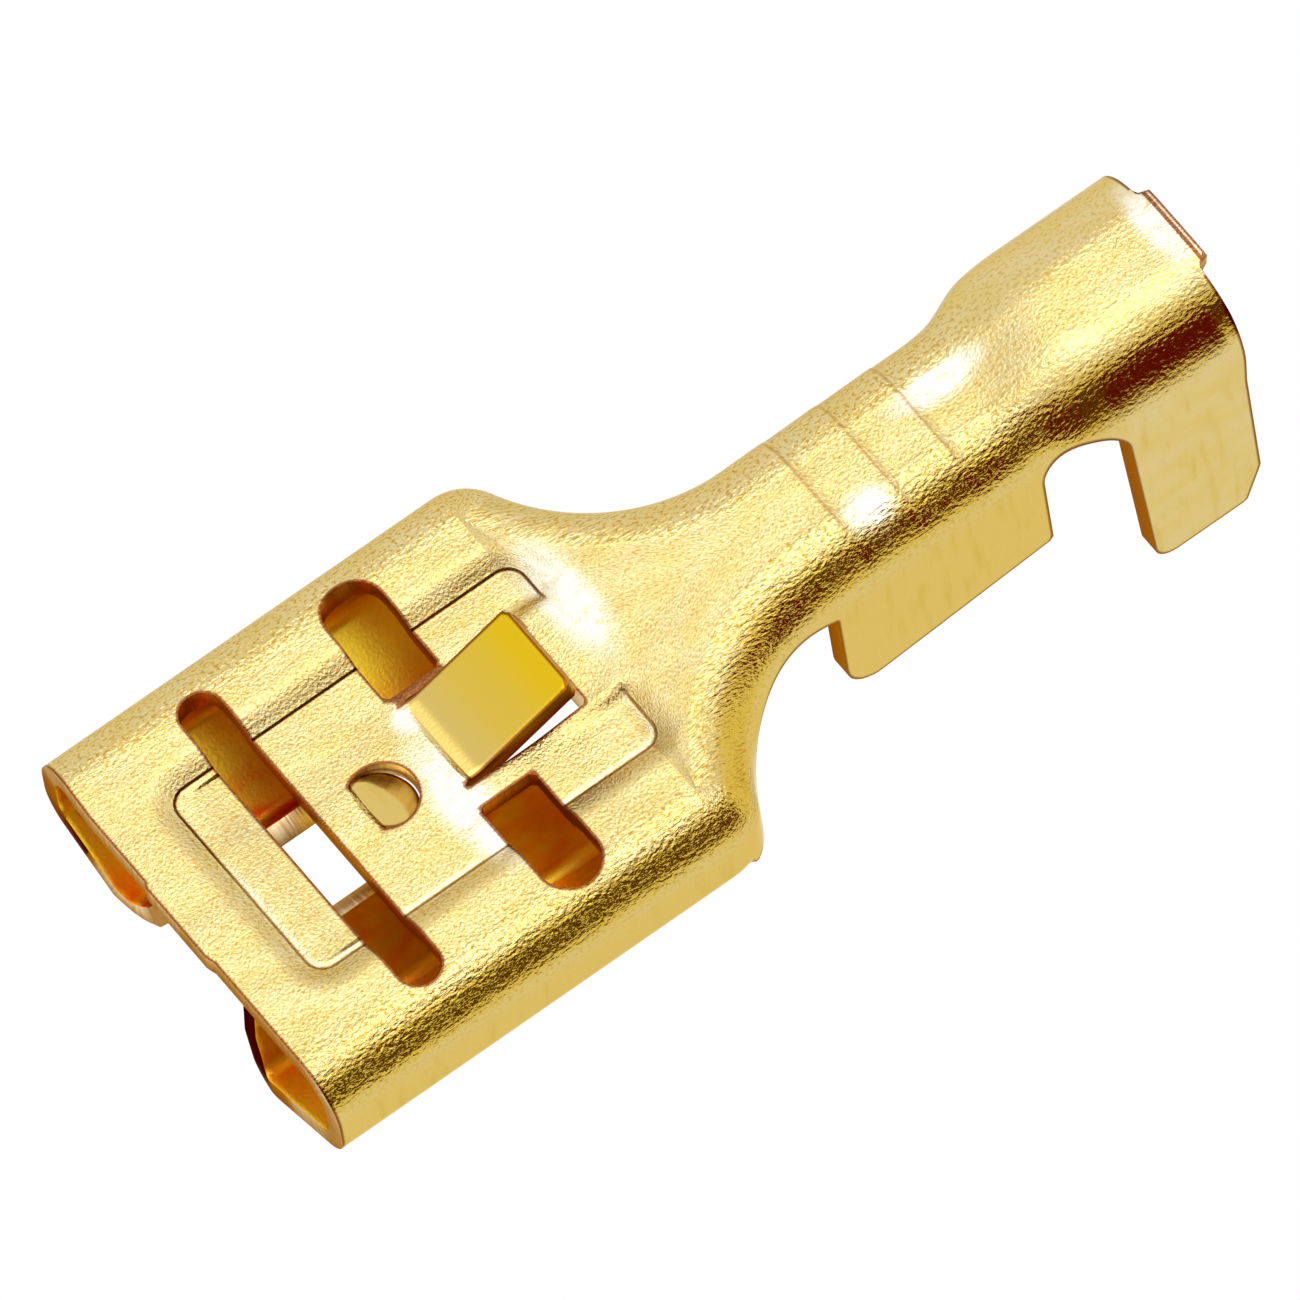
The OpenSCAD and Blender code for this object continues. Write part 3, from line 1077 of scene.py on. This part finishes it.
class Metal(Graph):
    """The nodes of one bare metal. Its patterns lie on the blank in millimetres, so they run with
    the sheet over its bends."""

    def __init__(self, name: str, roughness: float, edge: str) -> None:
        """Start a metal.

        Args:
            name: The material's name.
            roughness: Its roughness.
            edge: Its colour at grazing angles.
        """
        self.material = bpy.data.materials.new(name)
        super().__init__(self.material)
        self.shader = self.tree.nodes["Principled BSDF"]
        self.shader.inputs["Metallic"].default_value = 1.0
        self.shader.inputs["Roughness"].default_value = roughness
        self.shader.inputs["Specular Tint"].default_value = linear(edge)
        self.place = self.add("Attribute", attribute_name="on_blank").outputs["Vector"]
        self.along = self.add("SeparateXYZ", {0: self.place}).outputs[0]
        self.normal = None

    def read(self, name: str) -> Socket:
        """The sheet's own value of the given name."""
        return self.add("Attribute", attribute_name=name).outputs["Fac"]

    def noise(self, along: float, across: float, detail: float = 2.0) -> Socket:
        """Noise whose cells have the given length and width in millimetres."""
        scaled = self.vector("MULTIPLY", self.place, (1 / along, 1 / across, 1))
        return self.add("TexNoise", {"Vector": scaled, "Scale": 1.0, "Detail": detail}).outputs["Fac"]

    def relief(self, height: Socket, size_mm: float = 1.0) -> None:
        """Add a fine relief to the face.

        Args:
            height: Height of the relief.
            size_mm: Millimetres for a height of 1.
        """
        inputs = {"Height": height, "Strength": 1.0, "Distance": size_mm * MM}
        if self.normal:
            inputs["Normal"] = self.normal
        self.normal = self.add("Bump", inputs).outputs["Normal"]

    def finish(self, colour: Socket) -> bpy.types.Material:
        """Link the colour and the relief.

        Args:
            colour: The finished colour.

        Returns:
            The material.
        """
        self.tree.links.new(self.normal, self.shader.inputs["Normal"])
        self.tree.links.new(colour, self.shader.inputs["Base Color"])
        return self.material


@dataclass(frozen=True)
class PressedBrass:
    """Bright rolled brass strip, as the press has left its outer face. The stretched bends are rough
    with an orange-peel grain, which breaks the light into specks, the flats are mottled and finely
    grained, and the wings keep the rolls' faint streaks. Its colour also holds painted light:
    highlights, a top painted paler than the wings, a dark reflection stripe on the right bend, shade
    lines in the pad's crease, on the ridges' crests and in the tail's groove, and a dark outline along
    the cut edges."""

    colour: str = "DDC06C"
    # Pale colour of the clouds on the top and upper bends: random mottle, and the top painted paler than
    # the wings as its highlight.
    pale: str = "DFCC94"
    drag: str = "CFB04E"
    tongue: tuple[str, str, str] = ("D8BC66", "DCBB48", "E2BD1E")
    # Colour of the painted highlights, on the listed spots and on the pad's bead.
    painted_highlight: str = "FFF9E4"
    fleck: str = "C49A34"
    # Colour of the right bend's painted dark reflection stripe.
    stretched: str = "D8B636"
    stub: str = "F2DEB8"
    edge: str = "F6E6B8"
    # Colour of the painted shade lines in the pad's crease and the tail's groove, and of the painted
    # dark outline along the cut edges.
    painted_dark_line: str = "7A3406"
    # Colour of the painted shade lines on the ridges' crests.
    painted_crest_shade: str = "A8782C"
    roughness: float = 0.14
    grain_mm: float = 0.03
    wave_mm: float = 0.05
    streak_mm: float = 0.0006
    drop_mm: float = 0.05
    bead_mm: float = 0.025
    fall_mm: float = 0.09
    tail_mm: float = 0.07
    ridge_start: float = 0.0
    ridge_pitch: float = 1.0
    ridges: int = 3
    tail: float = 0.0

    def build(self) -> bpy.types.Material:
        """Make the material.

        Returns:
            The new material.
        """
        metal = Metal("pressed_brass", self.roughness, self.edge)
        self.press_grain(metal)
        self.press_crease(metal)
        colour = self.mottle_and_painted_light(metal)
        colour = self.painted_highlights_and_crease_shade(metal, colour)
        return metal.finish(self.outlined(metal, colour))

    def press_grain(self, metal: Metal) -> None:
        """Add the grain, the soft waves of the flats and the rolls' streaks.

        Args:
            metal: The material that is being made.
        """
        even, drawn = metal.noise(0.05, 0.05, 3.0), metal.noise(0.1, 0.065, 2.0)
        drawn_out = metal.read("stretched")
        grain = metal.add("Mix", {"Factor": drawn_out, 2: even, 3: drawn}, data_type="FLOAT").outputs[0]
        metal.relief(metal.product(grain, metal.read("pressed")), self.grain_mm)
        metal.relief(metal.product(metal.noise(1.5, 0.9, 1.5), metal.read("tint")), self.wave_mm)
        metal.relief(metal.noise(2.4, 0.05), self.streak_mm)

    def press_crease(self, metal: Metal) -> None:
        """Add the pad's sharp crease, the bead inside it and the groove before the tail.

        Args:
            metal: The material that is being made.
        """
        inside = metal.read("inside_pad")
        drop = metal.ramp(inside, -0.05, 0.0, 0.0, -self.drop_mm)
        bead = metal.ramp(inside, 0.0, 0.12, 0.0, self.bead_mm)
        metal.relief(metal.product(drop, metal.read("creased")))
        metal.relief(metal.product(bead, metal.read("beaded")))
        fall = metal.ramp(metal.along, 1.3, 2.1, 0.0, -self.fall_mm)
        fall = metal.product(fall, metal.ramp(metal.along, 2.5, 2.4), metal.ramp(inside, 0.08, 0.16))
        metal.relief(fall)
        metal.relief(metal.ramp(metal.along, self.tail - 0.45, self.tail, 0.0, self.tail_mm))

    def mottle_and_painted_light(self, metal: Metal) -> Socket:
        """Colour of the face with its clouds, flecks and drag marks, its top painted paler as a
        highlight, and the right bend's painted dark reflection stripe.

        Args:
            metal: The material that is being made.

        Returns:
            The colour.
        """
        cloud = metal.ramp(metal.noise(0.9, 0.5, 3.0), 0.3, 0.7, 0.45, 1.0)
        # Painted highlight: the pale clouds lie on the top and upper bends, so these read paler than the
        # wings.
        colour = metal.mix(metal.product(cloud, metal.read("tint")), self.colour, self.pale)
        pressed = metal.read("pressed")
        fleck = metal.ramp(metal.noise(0.07, 0.06, 3.0), 0.48, 0.66)
        colour = metal.mix(metal.product(fleck, pressed), colour, self.fleck)
        drag = metal.ramp(metal.noise(0.2, 1.3, 3.0), 0.5, 0.75, 0.0, 0.5)
        colour = metal.mix(metal.product(drag, metal.ramp(pressed, 0.3, 0.1)), colour, self.drag)
        # Painted dark reflection stripe on the right bend.
        return metal.mix(metal.product(metal.read("painted_reflection_band"), 0.8), colour, self.stretched)

    def painted_highlights_and_crease_shade(self, metal: Metal, colour: Socket) -> Socket:
        """Add the painted highlights, also on the bead inside the pad's crease, and the crease's painted
        shade line.

        Args:
            metal: The material that is being made.
            colour: Colour so far.

        Returns:
            The colour with both.
        """
        inside, beaded = metal.read("inside_pad"), metal.read("beaded")
        # Painted highlight on the bead inside the pad's crease.
        bead = metal.product(metal.ramp(inside, 0.0, 0.05), metal.ramp(inside, 0.13, 0.06),
                             metal.ramp(beaded, 0.5, 1.0), 0.4)
        speck = metal.ramp(metal.noise(0.3, 0.2, 3.0), 0.3, 0.6, 0.5, 1.0)
        # Painted highlights on the listed spots and on the bead, broken into specks.
        bright = metal.product(speck, metal.maths("MAXIMUM", metal.read("painted_highlight"), bead))
        colour = metal.mix(bright, colour, self.painted_highlight)
        # Painted shade line along the pad's crease.
        off_line = metal.maths("ABSOLUTE", metal.maths("ADD", inside, 0.015))
        weight = metal.maths("ADD", beaded, metal.read("creased"))
        return metal.mix(metal.product(metal.ramp(off_line, 0.04, 0.01), weight, 0.5), colour, self.painted_dark_line)

    def outlined(self, metal: Metal, colour: Socket) -> Socket:
        """Add the tongue's colours, the painted shade lines on the ridges' crests, the stub, the painted
        shade in the tail's groove and a painted dark outline along the cut edges.

        Args:
            metal: The material that is being made.
            colour: Colour so far.

        Returns:
            The finished colour.
        """
        up, tail = metal.read("tongue"), metal.maths("SUBTRACT", metal.along, self.tail)
        root, middle, tip = self.tongue
        tongue = metal.mix(metal.ramp(up, 0.1, 0.5), root, middle)
        tongue = metal.mix(metal.ramp(up, 0.5, 1.0), tongue, tip)
        colour = metal.mix(metal.ramp(up, 0.0, 0.08), colour, tongue)
        place = metal.maths("SUBTRACT", metal.along, self.ridge_start)
        place = metal.maths("DIVIDE", place, self.ridge_pitch)
        # Painted shade line along each ridge's crest, weaker in the right bend's stripe and on the
        # wings.
        crest = metal.product(
            metal.ramp(metal.maths("PINGPONG", place, 0.5), 0.04, 0.01, 0.0, 0.45),
            metal.ramp(place, 0.5, 0.6), metal.ramp(place, self.ridges + 0.5, self.ridges + 0.4),
            metal.ramp(metal.read("painted_reflection_band"), 0.6, 0.0), metal.read("tint"))
        colour = metal.mix(crest, colour, self.painted_crest_shade)
        colour = metal.mix(metal.ramp(tail, 0.0, 0.04), colour, self.stub)
        # Painted shade in the tail's groove and a painted dark outline along the cut edges.
        groove = metal.ramp(metal.maths("ABSOLUTE", tail), 0.05, 0.02, 0.0, 0.9)
        painted_dark_line = metal.ramp(metal.read("from_edge"), 0.065, 0.02, 0.0, 0.9)
        return metal.mix(metal.maths("MAXIMUM", groove, painted_dark_line), colour, self.painted_dark_line)


@dataclass(frozen=True)
class InnerBrass:
    """The strip's inner face, which nothing has touched. It sees only more brass, so the rolls glow
    orange; the red deep in them, towards their lips, is painted shade, strongest in the left roll's
    front."""

    colour: str = "FFDC3C"
    # Painted red shade colour deep in the rolls.
    deep: str = "FF4A08"
    edge: str = "F0A020"
    roughness: float = 0.34

    def build(self) -> bpy.types.Material:
        """Make the material.

        Returns:
            The new material.
        """
        metal = Metal("inner_brass", self.roughness, self.edge)
        metal.relief(metal.noise(0.06, 0.06, 2.0), 0.004)
        blotch = metal.ramp(metal.noise(0.9, 0.7, 2.0), 0.42, 0.62, 0.35, 1.0)
        # Painted red shade deep in the rolls, in blotches.
        depth = metal.product(metal.read("painted_roll_shade"), blotch)
        return metal.finish(metal.mix(depth, self.colour, self.deep))


@dataclass(frozen=True)
class ShearedBrass:
    """The punched edges of the strip. They are rough and brown where the metal broke, and bright where
    the punch has left a burnish. Along the mouth their bright and dark spots are painted highlights and
    painted dark reflections."""

    colour: str = "C48E30"
    # Colour of bright sheared edges, and of the painted highlights along the mouth.
    bright: str = "F6E2B8"
    # Painted dark reflection colour along the mouth's edge.
    painted_dark_reflection: str = "4A1606"
    edge: str = "B07C28"
    roughness: float = 0.35

    def build(self) -> bpy.types.Material:
        """Make the material.

        Returns:
            The new material.
        """
        metal = Metal("sheared_brass", self.roughness, self.edge)
        metal.relief(metal.noise(0.06, 0.06, 2.0), 0.01)
        burnish_and_highlight = metal.read("burnish_and_highlight")
        speck = metal.ramp(metal.noise(0.08, 0.08, 2.0), 0.35, 0.65, 0.7, 1.15)
        # Painted dark reflections where the share is near 0, and bright edges with painted highlights
        # where it is high.
        colour = metal.mix(metal.ramp(burnish_and_highlight, 0.1, 0.0), self.colour, self.painted_dark_reflection)
        bright = metal.product(metal.ramp(burnish_and_highlight, 0.1, 1.0), speck)
        return metal.finish(metal.mix(bright, colour, self.bright))


# ---- The terminal ----


@dataclass
class Terminal:
    """The terminal's sheet with its thickness, edges and finishes."""

    fold: Fold
    punch: Punch
    edge_round: float = 0.03
    tail_groove: float = 0.2

    def build(self) -> Piece:
        """Make the folded sheet solid and lay it down.

        Returns:
            The finished sheet.
        """
        fold = self.fold
        piece = Blank(fold, self.punch).folded()
        piece.name = piece.data.name = "folded_sheet"
        shift = fold.neck_end_s - fold.neck_end
        outer = PressedBrass(
            ridge_start=fold.ridge_x + shift - (1 - fold.ridge_rise) * fold.ridge_pitch,
            ridge_pitch=fold.ridge_pitch, ridges=fold.ridges,
            tail=self.punch.ins_end + self.tail_groove + shift)
        for finish in (outer, InnerBrass(), ShearedBrass()):
            piece.data.materials.append(finish.build())
        apply_modifier(piece, "SOLIDIFY", thickness=fold.sheet * MM, offset=-1.0,
                       use_even_offset=False, material_offset=1, material_offset_rim=2)
        apply_modifier(piece, "BEVEL", width=self.edge_round * MM, segments=2,
                       limit_method="ANGLE", angle_limit=math.radians(50), use_clamp_overlap=True)
        piece.data.transform(Rest(fold, self.punch).matrix())
        piece.data.update()
        deselect_all()
        piece.select_set(True)
        bpy.context.view_layer.objects.active = piece
        bpy.ops.object.shade_smooth_by_angle(angle=math.radians(40))
        return piece


# ---- Studio ----


@dataclass(frozen=True)
class View:
    """A long lens over the terminal. The directions to the right and towards the camera, and the
    point it looks at, are in the folding frame. The width is what it takes in at that point."""

    right: Triple = (0.801, -0.590, -0.089)
    towards: Triple = (-0.224, -0.435, 0.870)
    middle: Triple = (8.29, -0.64, 0.0)
    width: float = 19.5783
    distance: float = 800.0
    sensor: float = 36.0

    def add(self, rest: Rest) -> None:
        """Add the camera and make it the scene's.

        Args:
            rest: How the terminal lies.
        """
        turn = rest.matrix()
        back = (turn.to_3x3() @ Vector(self.towards)).normalized()
        right = turn.to_3x3() @ Vector(self.right)
        right = (right - right.dot(back) * back).normalized()
        rotation = Matrix((right, back.cross(right), back)).transposed().to_4x4()
        target = turn @ (Vector(self.middle) * MM)
        data = bpy.data.cameras.new("camera")
        data.sensor_width = self.sensor
        data.lens = self.sensor * self.distance / self.width
        data.clip_start = 0.01
        camera = bpy.data.objects.new("camera", data)
        camera.matrix_world = Matrix.Translation(target + back * self.distance * MM) @ rotation
        bpy.context.scene.collection.objects.link(camera)
        bpy.context.scene.camera = camera


@dataclass(frozen=True)
class Studio:
    """White surroundings with a soft overhead light, and a dim gap and a dark card on the camera's
    side. Angles are in degrees, and the card's sizes are in millimetres."""

    level: float = 1.0
    overhead: float = 2.5
    light_from: Triple = (0.018, 0.14, 0.99)
    light_stretch: float = 0.45
    light_inner: float = 4.0
    light_outer: float = 22.5
    gap: str = "5E4606"
    gap_edge: str = "C8A82C"
    gap_low: float = 8.0
    gap_high: float = 50.0
    gap_side: float = 62.0
    card: str = "640C06"
    card_middle: Triple = (18.0, -22.0, 16.0)
    card_size: Pair = (31.0, 44.0)
    table: float = 4.0

    def add_world(self) -> None:
        """Add the surroundings that light the sheet and show in it."""
        world = bpy.data.worlds.new("studio")
        bpy.context.scene.world = world
        graph = Graph(world)
        ray = graph.add("TexCoord").outputs["Generated"]
        x, y, z = graph.add("SeparateXYZ", {0: ray}).outputs
        height = graph.product(graph.maths("ARCTAN2", z, graph.product(y, -1.0)), math.degrees(1))
        sideways = graph.product(graph.maths("ARCSINE", x), math.degrees(1))
        gap = graph.product(
            graph.ramp(height, self.gap_low - 10, self.gap_low + 6),
            graph.ramp(height, self.gap_high + 10, self.gap_high - 8),
            graph.ramp(sideways, self.gap_side, self.gap_side - 25))
        aside = graph.product(
            graph.ramp(height, -50, -30), graph.ramp(height, self.gap_high + 5, self.gap_high - 8),
            graph.ramp(sideways, -8, -30))
        drawn = graph.vector("MULTIPLY", ray, (self.light_stretch, 1, 1))
        off_light = graph.vector("DOT_PRODUCT", graph.vector("NORMALIZE", drawn), self.light_from)
        edges = [math.cos(math.radians(a)) for a in (self.light_outer, self.light_inner)]
        light = graph.ramp(off_light, *edges)
        level = graph.maths("ADD", graph.product(light, self.overhead - self.level), self.level)
        colour = graph.add("CombineColor", {0: level, 1: level, 2: level}).outputs[0]
        colour = graph.mix(graph.ramp(gap, 0.0, 0.5), colour, self.gap_edge)
        colour = graph.mix(graph.ramp(gap, 0.4, 1.0), colour, self.gap)
        colour = graph.mix(aside, colour, self.card)
        shown = graph.mix(graph.add("LightPath").outputs["Is Camera Ray"], colour, "FFFFFF")
        graph.tree.links.new(shown, graph.tree.nodes["Background"].inputs["Color"])

    def add_plane(self, name: str, size: float, material: bpy.types.Material) -> Piece:
        """Add a painted plane that isn't part of the terminal.

        Args:
            name: The plane's name.
            size: Length of its sides in metres.
            material: Its paint.

        Returns:
            The new plane.
        """
        deselect_all()
        bpy.ops.mesh.primitive_plane_add(size=size)
        plane = bpy.context.object
        plane.name = name
        plane.data.materials.append(material)
        return plane

    def add_card(self) -> None:
        """Add the dark card, thinned out towards its edges, that shows in the sheet's bends."""
        material = bpy.data.materials.new("dark_paper")
        card = self.add_plane("dark_card", 1.0, material)
        middle = Vector(self.card_middle) * MM
        wide, high = self.card_size[0] * MM, self.card_size[1] * MM
        card.data.transform(Matrix.Translation(middle) @ Matrix.Rotation(math.pi / 2, 4, "X")
                            @ Matrix.Diagonal((wide, high, 1, 1)))
        for ray in ("camera", "diffuse", "shadow", "transmission", "volume_scatter"):
            setattr(card, "visible_" + ray, False)
        graph = Graph(material)
        off = graph.vector("SUBTRACT", graph.add("TexCoord").outputs["Object"], middle)
        far = graph.vector("LENGTH", graph.vector("MULTIPLY", off, (2 / wide, 1, 2 / high)))
        graph.surface(graph.mix_shaders(graph.ramp(far, 1.0, 0.55), graph.add("BsdfTransparent"),
                                        graph.add("Emission", {"Color": self.card})))

    def add_table(self) -> None:
        """Add the white table. It can be looked through from below."""
        material = bpy.data.materials.new("white_table")
        table = self.add_plane("table", self.table, material)
        table.location.z = CAD_BOX[0][2] - 0.01 * MM
        graph = Graph(material)
        rays = graph.add("LightPath").outputs
        seen = graph.maths("MAXIMUM", rays["Is Camera Ray"], rays["Is Glossy Ray"])
        seen = graph.maths("MAXIMUM", seen, rays["Is Transmission Ray"])
        above = graph.mix_shaders(seen, graph.add("BsdfDiffuse", {"Color": (0.8, 0.8, 0.8, 1)}),
                                  graph.add("Emission", {"Color": "FFFFFF", "Strength": 1.0}))
        below = graph.add("NewGeometry").outputs["Backfacing"]
        graph.surface(graph.mix_shaders(below, above, graph.add("BsdfTransparent")))


def main() -> None:
    """Build the terminal, its surroundings and the camera."""
    logging.basicConfig(level=logging.INFO, format="%(name)s: %(message)s")
    bpy.context.scene.view_settings.view_transform = "Standard"
    fold = Fold()
    punch = Punch(fold)
    View().add(Rest(fold, punch))
    studio = Studio()
    studio.add_world()
    studio.add_table()
    studio.add_card()
    sheet = Terminal(fold, punch).build()
    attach(sheet, "root")
    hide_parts("terminal")
    triangles = sum(len(face.vertices) - 2 for face in sheet.data.polygons)
    LOG.info("%s: %d triangles", sheet.name, triangles)


if __name__ == "__main__":
    main()
